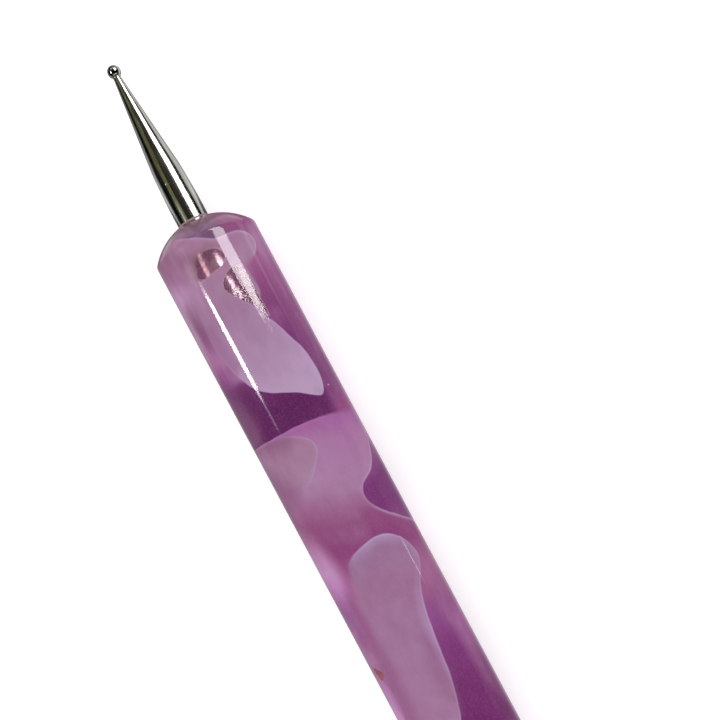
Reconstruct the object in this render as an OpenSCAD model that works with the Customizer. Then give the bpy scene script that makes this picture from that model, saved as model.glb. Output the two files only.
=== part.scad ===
// Double-ended ball stylus for embossing.
// A polished resin rod with domed ends is drilled at both ends. A tapered
// steel pin is bonded into each hole, and each pin carries a brazed ball:
// a small one on the -X end and a larger one on the +X end.
// The tool's axis is the X axis. The origin is on the axis, at the middle of
// the handle.

/* [Handle] */
// Diameter of the round handle
handle_d = 8; // [7:0.1:12]
// Length of the handle over both domes
handle_len = 100; // [70:1:140]
// Height of the dome at each end
dome_h = 2.05; // [1:0.05:2.8]
// Radius of the softened edge where dome and barrel meet
edge_r = 0.45; // [0.1:0.05:0.6]

/* [Pin sockets] */
// Depth of each drilled socket, measured from the top of the dome
socket_depth = 14; // [10:0.5:20]
// Gap around the pin that the adhesive fills, on the radius
bond_gap = 0.1; // [0.05:0.01:0.2]
// Length of each pin inside the handle, measured from the top of the dome
pin_embed = 13; // [8:0.5:13.5]

/* [Small ball end] */
// Diameter of the small ball
small_ball_d = 1.0; // [0.8:0.05:1.2]
// Diameter of the pin where it meets the small ball
small_neck_d = 0.59; // [0.4:0.01:0.65]
// Diameter of the small pin at the end of its main taper
small_taper_d = 2.22; // [2:0.01:2.3]
// Distance from ball centre to the end of the main taper
small_taper_end = 8.3; // [6:0.1:10]
// Distance from ball centre to the start of the parallel shank
small_shank_start = 11.0; // [10.2:0.1:12]
// Diameter of the small pin's parallel shank
small_shank_d = 2.4; // [2.35:0.01:2.6]
// Distance from the centre of the small ball to the top of the dome
small_reach = 12.5; // [12.1:0.1:16]

/* [Large ball end] */
// Diameter of the large ball
large_ball_d = 1.5; // [1.3:0.05:2]
// Diameter of the pin where it meets the large ball
large_neck_d = 0.86; // [0.7:0.01:1]
// Diameter of the large pin at the end of its main taper
large_taper_d = 2.46; // [2.2:0.01:2.48]
// Distance from ball centre to the end of the main taper
large_taper_end = 10.8; // [8:0.1:12]
// Distance from ball centre to the start of the parallel shank
large_shank_start = 12.2; // [12.1:0.1:14]
// Diameter of the large pin's parallel shank
large_shank_d = 2.5; // [2.5:0.01:2.6]
// Distance from the centre of the large ball to the top of the dome
large_reach = 15.1; // [14.2:0.1:18]

/* [Hidden] */

$fn = 96;
handle_r = handle_d / 2;
// sphere that gives the dome its height over the full handle diameter
dome_r = (handle_r * handle_r + dome_h * dome_h) / (2 * dome_h);
// distance from dome top to the centre of the edge rounding
edge_z = dome_r - sqrt(pow(dome_r - edge_r, 2) - pow(handle_r - edge_r, 2));
// thickness of the braze under each ball, and how far its fillet climbs
braze_t = 0.04;

// Every end is drawn with its dome top at the origin and +Z pointing out of
// the handle. These two place it on the tool.
module at_small_end() translate([-handle_len / 2, 0, 0]) rotate([0, -90, 0]) children();
module at_large_end() translate([handle_len / 2, 0, 0]) rotate([0, 90, 0]) children();

// Flat outline of everything outside the dome, to cut from a profile whose
// dome top is at y = 0.
module above_dome() {
  difference() {
    translate([-1, -dome_h]) square([handle_r + 3, dome_h + 3]);
    translate([0, -dome_r]) circle(r = dome_r);
  }
}

// Flat outline of the sharp corner that the edge rounding takes off.
module sharp_corner() {
  difference() {
    polygon([[handle_r - edge_r, -edge_z], [handle_r + 2, -edge_z], [handle_r + 2, 2],
             [(handle_r - edge_r) * 1.5, -dome_r + (dome_r - edge_z) * 1.5]]);
    translate([handle_r - edge_r, -edge_z]) circle(r = edge_r);
  }
}

// Handle before drilling, along Z, with its middle at the origin.
module handle_blank() {
  rotate_extrude()
    difference() {
      translate([0, -handle_len / 2 - 1]) square([handle_r, handle_len + 2]);
      translate([0, handle_len / 2]) above_dome();
      translate([0, handle_len / 2]) sharp_corner();
      mirror([0, 1]) translate([0, handle_len / 2]) above_dome();
      mirror([0, 1]) translate([0, handle_len / 2]) sharp_corner();
    }
}

// Half outline of a drilled socket with the cone that a twist drill leaves.
module socket_outline(shank_d) {
  r = shank_d / 2 + bond_gap;
  polygon([[0, -socket_depth - r * tan(31)], [r, -socket_depth], [r, 1], [0, 1]]);
}

// Half outline of the pin, with a cup in its nose for the ball.
module pin_outline(ball_d, neck_d, taper_d, taper_end, shank_start, shank_d, reach) {
  seat = sqrt(pow(ball_d / 2 + braze_t, 2) - pow(neck_d / 2, 2)) - 0.05;
  difference() {
    polygon([[0, -pin_embed], [shank_d / 2 - 0.25, -pin_embed], [shank_d / 2, -pin_embed + 0.25],
             [shank_d / 2, reach - shank_start], [taper_d / 2, reach - taper_end],
             [neck_d / 2, reach - seat - 0.05], [neck_d / 2, reach - seat], [0, reach - seat]]);
    translate([0, reach]) circle(r = ball_d / 2 + braze_t);
  }
}

// Turned pin, solid of revolution.
module tip_pin(ball_d, neck_d, taper_d, taper_end, shank_start, shank_d, reach) {
  rotate_extrude()
    pin_outline(ball_d, neck_d, taper_d, taper_end, shank_start, shank_d, reach);
}

// Braze: a thin cup between ball and pin, with a small fillet round the neck.
module braze(ball_d, neck_d, taper_d, taper_end, shank_start, shank_d, reach) {
  rb = ball_d / 2;
  rn = neck_d / 2;
  zc = sqrt(pow(rb + braze_t, 2) - rn * rn);
  rf = rn + 1.6 * braze_t;
  rotate_extrude()
    difference() {
      polygon([[0, reach - rb - 3 * braze_t], [rn, reach - rb - 3 * braze_t],
               [rn, reach - zc - 1.5 * braze_t], [rn + 0.5 * braze_t, reach - zc],
               [rf, reach - sqrt(rb * rb - rf * rf)],
               [rn, reach - rb * 0.5], [0, reach - rb * 0.5]]);
      pin_outline(ball_d, neck_d, taper_d, taper_end, shank_start, shank_d, reach);
      translate([0, reach]) circle(r = rb);
    }
}

// Adhesive that fills the socket around and under the pin, flush with the dome.
module bond(shank_d) {
  rotate_extrude()
    difference() {
      socket_outline(shank_d);
      above_dome();
      polygon([[-1, -pin_embed], [shank_d / 2 - 0.25, -pin_embed], [shank_d / 2, -pin_embed + 0.25],
               [shank_d / 2, 2], [-1, 2]]);
    }
}

module handle() {
  color([0.66, 0.42, 0.66])
  difference() {
    rotate([0, 90, 0]) handle_blank();
    at_small_end() rotate_extrude() socket_outline(small_shank_d);
    at_large_end() rotate_extrude() socket_outline(large_shank_d);
  }
}

module small_tip_pin() {
  color([0.45, 0.45, 0.42])
  at_small_end()
    tip_pin(small_ball_d, small_neck_d, small_taper_d, small_taper_end,
            small_shank_start, small_shank_d, small_reach);
}

module large_tip_pin() {
  color([0.45, 0.45, 0.42])
  at_large_end()
    tip_pin(large_ball_d, large_neck_d, large_taper_d, large_taper_end,
            large_shank_start, large_shank_d, large_reach);
}

module small_ball() {
  color([0.3, 0.32, 0.33])
  at_small_end() translate([0, 0, small_reach]) sphere(d = small_ball_d);
}

module large_ball() {
  color([0.3, 0.32, 0.33])
  at_large_end() translate([0, 0, large_reach]) sphere(d = large_ball_d);
}

module small_ball_braze() {
  color([0.72, 0.6, 0.35])
  at_small_end()
    braze(small_ball_d, small_neck_d, small_taper_d, small_taper_end,
          small_shank_start, small_shank_d, small_reach);
}

module large_ball_braze() {
  color([0.72, 0.6, 0.35])
  at_large_end()
    braze(large_ball_d, large_neck_d, large_taper_d, large_taper_end,
          large_shank_start, large_shank_d, large_reach);
}

module small_tip_adhesive() {
  color([0.75, 0.66, 0.68])
  at_small_end() bond(small_shank_d);
}

module large_tip_adhesive() {
  color([0.75, 0.66, 0.68])
  at_large_end() bond(large_shank_d);
}

handle();
small_tip_pin();
large_tip_pin();
small_ball();
large_ball();
small_ball_braze();
large_ball_braze();
small_tip_adhesive();
large_tip_adhesive();
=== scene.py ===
import math

import bpy
import numpy as np
from mathutils import Matrix, Vector, noise


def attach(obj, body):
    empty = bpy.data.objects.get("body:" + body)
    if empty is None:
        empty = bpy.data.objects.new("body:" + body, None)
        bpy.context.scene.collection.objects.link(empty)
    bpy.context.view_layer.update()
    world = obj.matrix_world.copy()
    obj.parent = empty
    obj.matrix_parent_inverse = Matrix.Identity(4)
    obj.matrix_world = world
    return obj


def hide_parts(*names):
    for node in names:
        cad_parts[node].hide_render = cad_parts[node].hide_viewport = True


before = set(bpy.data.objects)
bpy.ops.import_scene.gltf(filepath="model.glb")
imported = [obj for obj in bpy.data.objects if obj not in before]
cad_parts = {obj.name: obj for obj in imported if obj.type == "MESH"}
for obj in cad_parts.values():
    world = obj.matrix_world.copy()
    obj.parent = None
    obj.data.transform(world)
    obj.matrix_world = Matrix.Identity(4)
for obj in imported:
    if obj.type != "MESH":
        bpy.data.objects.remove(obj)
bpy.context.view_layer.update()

MM = 0.001

# ---------------------------------------------------------------- sizes (mm)
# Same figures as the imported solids: the tool's axis is X, its middle is at 0.
R = 4.0                      # handle radius
HALF = 50.0                  # half the handle's length
DOME_R = 4.9274              # radius of each dome
EDGE_R = 0.45                # softened edge between dome and barrel
EDGE_X = HALF - (DOME_R - math.sqrt((DOME_R - EDGE_R) ** 2 - (R - EDGE_R) ** 2))
SOCKET = 14.0                # depth of a socket
EMBED = 13.0                 # pin length inside the handle
GAP = 0.1                    # adhesive film
BRAZE = 0.04
SMALL = dict(ball=1.0, neck=0.59, taper=2.22, taper_end=8.3, shank_at=11.0, shank=2.4, reach=12.5, side=-1)
LARGE = dict(ball=1.5, neck=0.86, taper=2.46, taper_end=10.8, shank_at=12.2, shank=2.5, reach=15.1, side=1)


def lin(r, g, b, gain=1.0):
    """Linear colour from display values 0-255."""
    out = []
    for c in (r, g, b):
        c /= 255.0
        out.append(gain * (c / 12.92 if c <= 0.04045 else ((c + 0.055) / 1.055) ** 2.4))
    return out


# ------------------------------------------------------------ lathe builder
def lathe(name, profile, segments, displace=None):
    """A closed solid of revolution about X. profile is (x, r) in mm and starts and ends on the axis."""
    prof = np.array(profile, float)
    n = len(prof)
    inner = prof[1:-1]
    ang = np.arange(segments) * 2 * math.pi / segments
    X = np.repeat(inner[:, 0], segments)
    Rr = np.repeat(inner[:, 1], segments)
    A = np.tile(ang, n - 2)
    if displace is not None:
        X, Rr = displace(X, Rr, A)
    co = np.stack([X, Rr * np.sin(A), Rr * np.cos(A)], 1)
    co = np.vstack([co, [[prof[0, 0], 0, 0], [prof[-1, 0], 0, 0]]]) * MM
    first, last = len(co) - 2, len(co) - 1
    faces = []
    for j in range(segments):
        k = (j + 1) % segments
        faces.append((first, k, j))
        for i in range(n - 3):
            a, b = i * segments, (i + 1) * segments
            faces.append((a + j, a + k, b + k, b + j))
        m = (n - 3) * segments
        faces.append((last, m + j, m + k))
    mesh = bpy.data.meshes.new(name)
    mesh.from_pydata([tuple(c) for c in co], [], faces)
    mesh.validate()
    mesh.update()
    # outward normals: the sign of the enclosed volume decides
    vol = 0.0
    for p in mesh.polygons:
        v = [mesh.vertices[i].co for i in p.vertices]
        for t in range(1, len(v) - 1):
            vol += v[0].dot(v[t].cross(v[t + 1]))
    if vol < 0:
        mesh.flip_normals()
    mesh.polygons.foreach_set("use_smooth", [True] * len(mesh.polygons))
    mesh.set_sharp_from_angle(angle=math.radians(32))
    obj = bpy.data.objects.new(name, mesh)
    bpy.context.scene.collection.objects.link(obj)
    return obj


def arc(cx, cr, rad, a0, a1, n):
    """Points of an arc round (cx, cr): angles in radians from +x towards +r."""
    return [(cx + rad * math.cos(a0 + (a1 - a0) * i / n), cr + rad * math.sin(a0 + (a1 - a0) * i / n)) for i in range(n + 1)]


def fine(points, step):
    """The same outline with extra points so that no stretch is longer than step."""
    out = [points[0]]
    for a, b in zip(points, points[1:]):
        d = math.hypot(b[0] - a[0], b[1] - a[1])
        k = max(1, int(math.ceil(d / step)))
        for i in range(1, k + 1):
            out.append((a[0] + (b[0] - a[0]) * i / k, a[1] + (b[1] - a[1]) * i / k))
    return out


# ---------------------------------------------------- handle outer outline
def end_outline(r0):
    """Half outline from the socket's mouth over dome and soft edge to the barrel, x measured outward from the middle."""
    cx = HALF - DOME_R
    a_mouth = math.asin(r0 / DOME_R)
    a_edge = math.atan2(R - EDGE_R, EDGE_X - cx)
    dome = arc(cx, 0, DOME_R, a_mouth, a_edge, 26)
    edge = arc(EDGE_X, R - EDGE_R, EDGE_R, a_edge, math.pi / 2, 8)
    return dome + edge[1:]


def bore_outline(r0):
    """From the drill point on the axis to the socket's mouth, x outward from the middle."""
    tip = (HALF - SOCKET - r0 * math.tan(math.radians(31)), 0.0)
    bottom = (HALF - SOCKET, r0)
    mouth_x = HALF - DOME_R + math.sqrt(DOME_R ** 2 - r0 ** 2)
    return tip, bottom, (mouth_x, r0)


r_small, r_large = SMALL["shank"] / 2 + GAP, LARGE["shank"] / 2 + GAP
left = [(-x, r) for x, r in end_outline(r_small)]
right = end_outline(r_large)
tipL, botL, mouL = bore_outline(r_small)
tipR, botR, mouR = bore_outline(r_large)
boreL = fine([(-tipL[0], 0.0), (-botL[0], botL[1]), (-mouL[0], mouL[1])], 0.8)
boreR = fine([(mouR[0], mouR[1]), (botR[0], botR[1]), (tipR[0], 0.0)], 0.8)
barrel = fine([(-EDGE_X, R), (EDGE_X, R)], 0.2)
profile = boreL + left[1:] + barrel[1:] + right[::-1][1:] + boreR[1:]
SEG = 132
handle = lathe("marbled_handle", profile, SEG)

# ------------------------------------------------------ unrolled coordinates
outer = left + barrel[1:] + right[::-1][1:]
ox = np.array([p[0] for p in outer])
orr = np.array([p[1] for p in outer])
ol = np.concatenate([[0], np.cumsum(np.hypot(np.diff(ox), np.diff(orr)))])
# u runs along the outline and equals x on the barrel; a is the arc round the barrel, 0 on top, + towards +Y
ou = ol - ol[len(left) - 1] - EDGE_X

co = np.zeros(len(handle.data.vertices) * 3)
handle.data.vertices.foreach_get("co", co)
co = co.reshape(-1, 3) / MM
vx, vy, vz = co[:, 0], co[:, 1], co[:, 2]
vr = np.hypot(vy, vz)
U = np.interp(vx, ox, ou)
A = np.arctan2(vy, vz) * R
TURN = 2 * math.pi * R

# Main view: straight down from this point, so a spot seen at (t, s) can be
# put on the surface. s runs along the tool from the small end's dome top,
# t across it, both in mm in the plane of the axis.
CAM = np.array([-35.12, 6.04, 58.0])
FAR_EYE = np.array([36.8, 4.7, 55.1])


def outline_r(x):
    return np.interp(x, ox, orr, left=0, right=0)


def seen_from(eye, x, y):
    """Unrolled place (u, a) of the surface point that hides (x, y, 0) from the eye; beyond the silhouettes it goes on round the barrel."""
    over = 0.0
    if y > 3.9:
        over, y = y - 3.9, 3.9
    if y < -3.9:
        over, y = y + 3.9, -3.9
    q = np.array([x, y, 0.0])
    d = q - eye
    k = np.linspace(0.90, 1.08, 700)
    p = eye[None] + d[None] * k[:, None]
    rr = np.hypot(p[:, 1], p[:, 2])
    f = rr - outline_r(p[:, 0])
    hit = np.where(f <= 0)[0]
    i = hit[0] if len(hit) else int(np.argmin(f))
    x, y, z = p[i]
    return float(np.interp(x, ox, ou)), math.atan2(y, z) * R + over


def seen(t, s):
    """Place on the surface that the main view shows at (t, s)."""
    return seen_from(CAM, s - HALF, t)


def seen_far(t, s):
    """Same for the large end, looked at from above it with the ball up."""
    return seen_from(FAR_EYE, HALF - s, -t)


def smooth_loop(pts, per=8):
    """Closed smooth curve through the points, all columns interpolated."""
    P = np.array(pts, float)
    n = len(P)
    out = []
    for i in range(n):
        p0, p1, p2, p3 = P[(i - 1) % n], P[i], P[(i + 1) % n], P[(i + 2) % n]
        for k in range(per):
            f = k / per
            out.append(0.5 * ((2 * p1) + (p2 - p0) * f + (2 * p0 - 5 * p1 + 4 * p2 - p3) * f * f + (3 * p1 - p0 - 3 * p2 + p3) * f ** 3))
    out = np.array(out)
    out[:, 2] = np.clip(out[:, 2], P[:, 2].min(), P[:, 2].max())
    out[:, 3] = np.clip(out[:, 3], P[:, 3].min(), P[:, 3].max())
    return out


# ------------------------------------------------------------------ palette
PLUM = (92, 38, 86)
GRAPE = (122, 60, 114)
VIOLET = (140, 80, 130)
MAGENTA = (146, 82, 124)
ROSE = (156, 95, 136)
MAUVE = (160, 110, 146)
ORCHID = (168, 104, 158)
PINK = (188, 140, 182)
GREY = (152, 114, 142)
LILAC = (165, 127, 160)
MILK = (178, 148, 180)
CLEAR = (232, 196, 214)
BROWN = (140, 72, 92)

LAYERS = ("deep", "veil", "inner", "pale", "clear", "speck_and_glint")
N = len(U)
far = 3.0
layer = {k: dict(sd=np.full(N, far), soft=np.full(N, 0.1), rim=np.zeros(N), col=np.tile(np.array(lin(*MAUVE)), (N, 1)), op=np.ones(N)) for k in LAYERS}


# a slow ripple over the whole handle, in mm, so that no run of colour ends in a straight line
RIPPLE = (.5 * np.sin(.61 * vx + 1.1 * vy + 1.7) + .38 * np.sin(.93 * vx - .8 * vz + .6 * vy + .4) + .25 * np.sin(1.7 * vx + 1.3 * vz - 1.1 * vy))


def lobe(which, pts, colours, opacity=1.0, place=seen, per=8, slant=0.0):
    """One lobe. pts are (t, s, softness, rim), listed one by one; colours is a list of (position along the tool,
    colour), slant tilts the runs of colour.
    """
    P = []
    for p in pts:
        t, s = p[0], p[1]
        soft = p[2] if len(p) > 2 else 0.05
        rim = p[3] if len(p) > 3 else 0.0
        u, a = place(t, s) if place else (t, s)
        P.append((u, a, soft, rim))
    C = smooth_loop(P, per)
    a0 = C[:, 1].mean()
    da = (A - a0 + TURN / 2) % TURN - TURN / 2
    cu, ca = C[:, 0], C[:, 1] - a0
    m = (U > cu.min() - far) & (U < cu.max() + far) & (da > ca.min() - far) & (da < ca.max() + far)
    idx = np.where(m)[0]
    if not len(idx):
        return
    pu, pa = U[idx], da[idx]
    best = np.full(len(idx), 1e9)
    bs = np.zeros(len(idx))
    br = np.zeros(len(idx))
    inside = np.zeros(len(idx), bool)
    n = len(C)
    for i in range(n):
        j = (i + 1) % n
        x0, y0, x1, y1 = cu[i], ca[i], cu[j], ca[j]
        dx, dy = x1 - x0, y1 - y0
        L2 = dx * dx + dy * dy + 1e-12
        f = np.clip(((pu - x0) * dx + (pa - y0) * dy) / L2, 0, 1)
        d = np.hypot(pu - x0 - f * dx, pa - y0 - f * dy)
        w = d < best
        best = np.where(w, d, best)
        bs = np.where(w, C[i, 2] * (1 - f) + C[j, 2] * f, bs)
        br = np.where(w, C[i, 3] * (1 - f) + C[j, 3] * f, br)
        cross = ((y0 > pa) != (y1 > pa)) & (pu < (x1 - x0) * (pa - y0) / (y1 - y0 + 1e-12) + x0)
        inside ^= cross
    sd = np.where(inside, -best, best)
    L = layer[which]
    w = sd < L["sd"][idx]
    k = idx[w]
    L["sd"][k] = sd[w]
    L["soft"][k] = bs[w]
    L["rim"][k] = br[w]
    L["op"][k] = opacity
    ks = np.array([c[0] for c in colours], float)
    cols = np.array([lin(*c[1]) for c in colours])
    for ch in range(3):
        L["col"][k, ch] = np.interp(pu[w] + slant * pa[w] + .35 * RIPPLE[k], ks, cols[:, ch])


def at(s):
    return s - HALF


# -------------------------------------------- lobes seen at the small end
# dark clear window across the barrel, and the purple side next to it
lobe("deep", [(-6.5, 11.9, .5), (-4.6, 11.6, .5), (-3.6, 12.0, .5), (-2.6, 12.1, .4), (-1, 12.4, .3), (1, 12.8, .3), (2.1, 13.6, .35), (2.6, 15, .45),
              (2.65, 16.2, .55), (2.6, 17.2, .7), (2.2, 18.4, .7), (0, 18.4, .3), (-4, 18.0, .3), (-6.5, 18.2, .5), (-8.5, 15.0, .5)],
     [(at(12), GRAPE), (at(13.2), (103, 47, 95)), (at(15), (92, 34, 86)), (at(17), (92, 36, 86))])
# lighter left part of the dark window: the resin's tone plus painted sheen along the barrel's left edge
lobe("deep", [(-6.5, 12.4, .8), (-4.2, 12.6, .7), (-3.2, 13.2, .7), (-2.5, 14.4, .7), (-2.4, 16, .7), (-3.0, 17.6, .6), (-6.5, 17.6, .8)], [(at(13), (132, 80, 120)), (at(16), (122, 70, 110))], .95)
# dark window on the right side
lobe("deep", [(5.4, 19.6, .4), (3.9, 20.4, .2), (2.4, 22.0, .2), (1.0, 23.8, .2), (1.2, 25.4, .2), (2.6, 27.0, .2), (4.2, 27.8, .3), (6.5, 27.4, .6), (8.0, 24.0, .8), (7.2, 20.8, .8)],
     [(at(21), VIOLET), (at(23), (116, 50, 110)), (at(25), (117, 51, 110)), (at(27), (134, 74, 126))])
# dark stretch to the right of the lower pale lobe
lobe("deep", [(2.6, 32.4, .9), (2.9, 34.6, .8), (3.1, 37, .7), (3.3, 40, .7), (4.0, 44, .8), (2.5, 48, 1.2), (-.5, 46.5, 1.0), (-1.0, 42, .4), (0, 38, .4), (.6, 34.4, .6), (1.6, 32.2, .9)],
     [(at(33), (138, 74, 132)), (at(35.5), (125, 57, 117)), (at(38.5), (115, 48, 105)), (at(42), (106, 39, 96)), (at(44), GRAPE)])
# small dark sliver on the left edge
lobe("deep", [(-4.0, 20.4, .2), (-3.7, 21.2, .12), (-3.72, 21.9, .15), (-4.2, 22.5, .2), (-6.0, 22.4, .6), (-6.2, 20.6, .6)], [(at(21), GRAPE)])

# mauve veil: milky at the dark window, magenta further down
lobe("veil", [(-8.4, 20.6, .5, .2), (-6.6, 19.2, .2, .3), (-5.2, 17.9, .1, .3), (-4, 17.14, .06, .22), (-2.6, 17.02, .05, .22), (-1, 17.0, .05, .2), (0.2, 17.04, .06, .18), (1.2, 17.16, .08, .14), (2.2, 17.36, .14, .08), (3.1, 17.62, .3), (3.9, 17.9, .3),
              (4.6, 18.4, .2, .3), (4.15, 19.4, .08, .5), (3.86, 20.0, .05, .65), (3.72, 20.75, .05, .65), (3.52, 21.35, .05, .65), (3.24, 22.0, .05, .7), (2.85, 22.48, .05, .7), (2.4, 22.76, .05, .6), (1.95, 23.06, .05, .4),
              (1.68, 23.5, .05, .35), (1.63, 24.0, .05, .3), (1.74, 24.5, .05, .45), (2.0, 25.0, .05, .7), (2.4, 25.5, .05, .9), (2.88, 26.02, .05, .9), (3.4, 26.55, .05, .9), (4.0, 27.1, .06, .9), (5.6, 28.0, .2, .5),
              (6.5, 30.0, .8), (5.0, 33.5, 1.0), (3.4, 34.4, .9), (2.3, 33.2, .8), (1.0, 33.6, .6), (-1, 34, .6), (-3.4, 34, .8), (-5, 32, 1.0), (-6.5, 27, 1.2), (-8.0, 23.4, 1.0)],
     [(at(16.9), (157, 92, 150)), (at(17.7), (159, 100, 153)), (at(18.6), (163, 111, 155)), (at(21.3), (164, 120, 158)), (at(22.4), (161, 117, 153)), (at(23.3), (152, 98, 137)), (at(24.4), (140, 78, 120)), (at(26.6), (134, 62, 113)), (at(29.5), ROSE), (at(33), VIOLET)], slant=-.2)

# grey-mauve oval inside the veil
lobe("inner", [(-5.2, 17.3, .3), (-4, 17.22, .14), (-2.6, 17.15, .12), (-1.7, 17.2, .1, .3), (-.95, 17.54, .08, .5), (-.3, 17.95, .09, .5), (.06, 18.4, .1, .5), (.2, 18.95, .1, .5), (.02, 19.55, .1, .46),
               (-.5, 20.25, .09, .5), (-1.15, 20.9, .12, .4), (-1.75, 21.3, .2, .25), (-2.5, 21.2, .45), (-3.4, 20.8, .8), (-4.8, 21.0, .8), (-5.6, 19.6, .6)],
     [(at(17.2), (140, 94, 126)), (at(18.2), (156, 114, 144)), (at(20.5), (160, 124, 151)), (at(21.4), (158, 116, 148))])
# brownish shade low on the left of the oval
lobe("speck_and_glint", [(-4.8, 18.9, 1.1), (-3.7, 19.2, 1.1), (-2.9, 20.4, 1.0), (-2.7, 21.4, .9), (-3.4, 22.5, .9), (-4.8, 22.8, .9)], [(at(20), (134, 82, 120))], .8)
# the same lighter left edge of the dark window: resin tone plus painted edge sheen
lobe("speck_and_glint", [(-4.8, 13.0, .8), (-3.6, 13.4, .9), (-2.95, 14.5, .9), (-2.95, 16.0, .8), (-3.5, 16.9, .5), (-5.1, 16.6, .8)], [(at(13), (122, 74, 110))], .68)
lobe("speck_and_glint", [(-4.2, 20.5, .1), (-3.86, 20.8, .06), (-3.8, 21.4, .06), (-3.9, 22.0, .1), (-4.4, 22.2, .2), (-4.8, 21.2, .2)], [(at(21), (112, 58, 104))], .9)
# pale rim line and oval below the dome's edge
lobe("inner", [(-1.9, .62, .1, .2), (-1.2, .85, .08, .5), (-.5, 1.12, .07, .7), (.2, 1.52, .06, .7), (.7, 1.82, .06, .6), (1.3, 1.96, .05, .7), (1.9, 1.98, .05, .7), (2.5, 2.1, .05, .8), (3.0, 2.46, .05, .9), (3.26, 2.9, .05, 1.), (3.32, 3.36, .05, 1.),
               (3.2, 3.85, .06, .9), (2.9, 4.22, .1, .4), (2.3, 4.55, .35), (1.4, 4.6, .3), (.6, 3.4, .3), (-.4, 2.5, .3), (-1.6, 2.0, .4), (-2.4, 1.3, .3)],
     [(at(.8), (160, 116, 150)), (at(2), (158, 112, 144)), (at(4), (162, 122, 152))])
# bright pink strips along the left edge: pink resin plus painted glow of light coming through the edge
lobe("inner", [(-5.6, 25.0, .8), (-4.1, 24.0, .7), (-3.3, 24.8, .8), (-2.95, 26.2, .85), (-2.75, 28.0, .8), (-2.9, 29.6, .6), (-3.15, 31.0, .4), (-3.6, 32.4, .25), (-4.4, 33.2, .4), (-6.0, 30.0, .8)],
     [(at(24.6), ROSE), (at(26), (178, 124, 168)), (at(27.2), (187, 136, 181)), (at(28.4), (182, 122, 177)), (at(29.5), (156, 94, 150)), (at(30.3), (144, 82, 138)), (at(31.2), (143, 84, 136)), (at(32.2), (162, 102, 154)), (at(33), (156, 98, 144))])
lobe("inner", [(-5.5, 36.4, .5), (-3.75, 36.6, .12), (-3.45, 37.6, .07), (-3.38, 38.8, .06), (-3.5, 40.0, .08), (-3.9, 41.6, .2), (-5.6, 42.0, .6)],
     [(at(36.5), (172, 112, 164)), (at(38.5), (194, 136, 190)), (at(41), ORCHID)])

# big pale lobe
lobe("pale", [(.75, 3.45, .14), (.3, 3.85, .06), (-.15, 3.98, .05), (-.8, 4.12, .05), (-1.5, 4.22, .08), (-1.95, 4.5, .2), (-2.15, 5.4, .25), (-2.5, 6.6, .3), (-2.9, 8.0, .3), (-3.0, 9.2, .2), (-2.9, 10.2, .1, .1), (-2.72, 11.1, .06, .15),
              (-2.38, 12.05, .06, .15), (-1.95, 12.95, .05, .1), (-1.5, 13.5, .05), (-.9, 13.95, .05), (-.2, 14.3, .05), (.5, 14.65, .05), (1.1, 15.0, .05), (1.65, 15.42, .05, .1), (2.1, 15.75, .05, .2), (2.42, 15.8, .05, .3),
              (2.68, 15.45, .05, .5), (2.86, 14.8, .05, .7), (2.93, 14.0, .05, .8), (2.88, 13.0, .05, .9), (2.7, 12.0, .05, .9), (2.34, 11.0, .05, .9), (2.0, 10.0, .05, .8), (1.7, 9.2, .05, .7), (1.3, 8.6, .06, .4),
              (1.0, 7.9, .06, .3), (1.9, 7.0, .1), (1.9, 5.6, .12), (1.75, 4.3, .2), (1.3, 3.6, .2)],
     [(at(3.8), (160, 118, 148)), (at(6), (160, 122, 150)), (at(8), (156, 116, 148)), (at(10), (162, 126, 158)), (at(11.8), (168, 135, 168)), (at(13.5), (176, 144, 177)), (at(16), (176, 152, 182))])
lobe("speck_and_glint", [(-2.95, 8.0, .4), (-2.6, 7.4, .5), (-2.2, 9.0, .5), (-2.0, 10.6, .4), (-2.4, 11.6, .3), (-2.7, 11.2, .2), (-2.95, 10.0, .25)], [(at(8), (148, 98, 138))], .6)
# lower pale lobe
lobe("pale", [(-2.05, 28.5, .34, .0), (-1.75, 27.8, .26, .25), (-1.1, 27.38, .13, .7), (0, 27.08, .08, 1.2), (1.0, 26.96, .07, 1.3), (1.75, 27.16, .06, 1.2), (2.35, 27.62, .06, .9), (2.78, 28.25, .05, .6), (3.02, 28.95, .05, .6),
              (3.08, 29.7, .05, .5), (2.86, 30.4, .06, .4), (2.42, 31.2, .06, .5), (2.02, 32.1, .05, .7), (1.72, 33.2, .05, .8), (1.5, 34.4, .05, .9), (1.34, 35.6, .05, .9), (1.18, 36.9, .05, .9), (1.02, 38.3, .05, .9),
              (.8, 39.5, .05, .9), (.5, 40.7, .05, .8), (.1, 41.9, .06, .7), (-.8, 43.6, .1, .5), (-2.2, 44.4, .3), (-3.2, 42.5, .6), (-3.2, 38, .5), (-3.0, 34, .5), (-2.75, 31.6, .4), (-2.4, 29.8, .3)],
     [(at(27), (148, 110, 145)), (at(29), (152, 107, 141)), (at(34), (156, 114, 150)), (at(40), (158, 114, 148))])
# warmer shade down its left side, and a brownish cloud low on the right
lobe("speck_and_glint", [(-3.1, 30.5, .5), (-2.7, 31.5, .5), (-2.5, 34, .6), (-2.5, 38, .6), (-2.9, 42, .7), (-3.6, 42, .6), (-3.5, 36, .5), (-3.3, 32, .5)], [(at(30), (144, 88, 130)), (at(42), (148, 92, 132))], .8)
lobe("speck_and_glint", [(.2, 35.4, .8), (.85, 35.2, .5), (1.0, 37.6, .4), (.75, 40.0, .4), (.2, 41.4, .7), (-.1, 38.6, .8)], [(at(36), (140, 84, 126)), (at(38.2), (136, 82, 112)), (at(40), (140, 86, 126))], .55)

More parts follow.
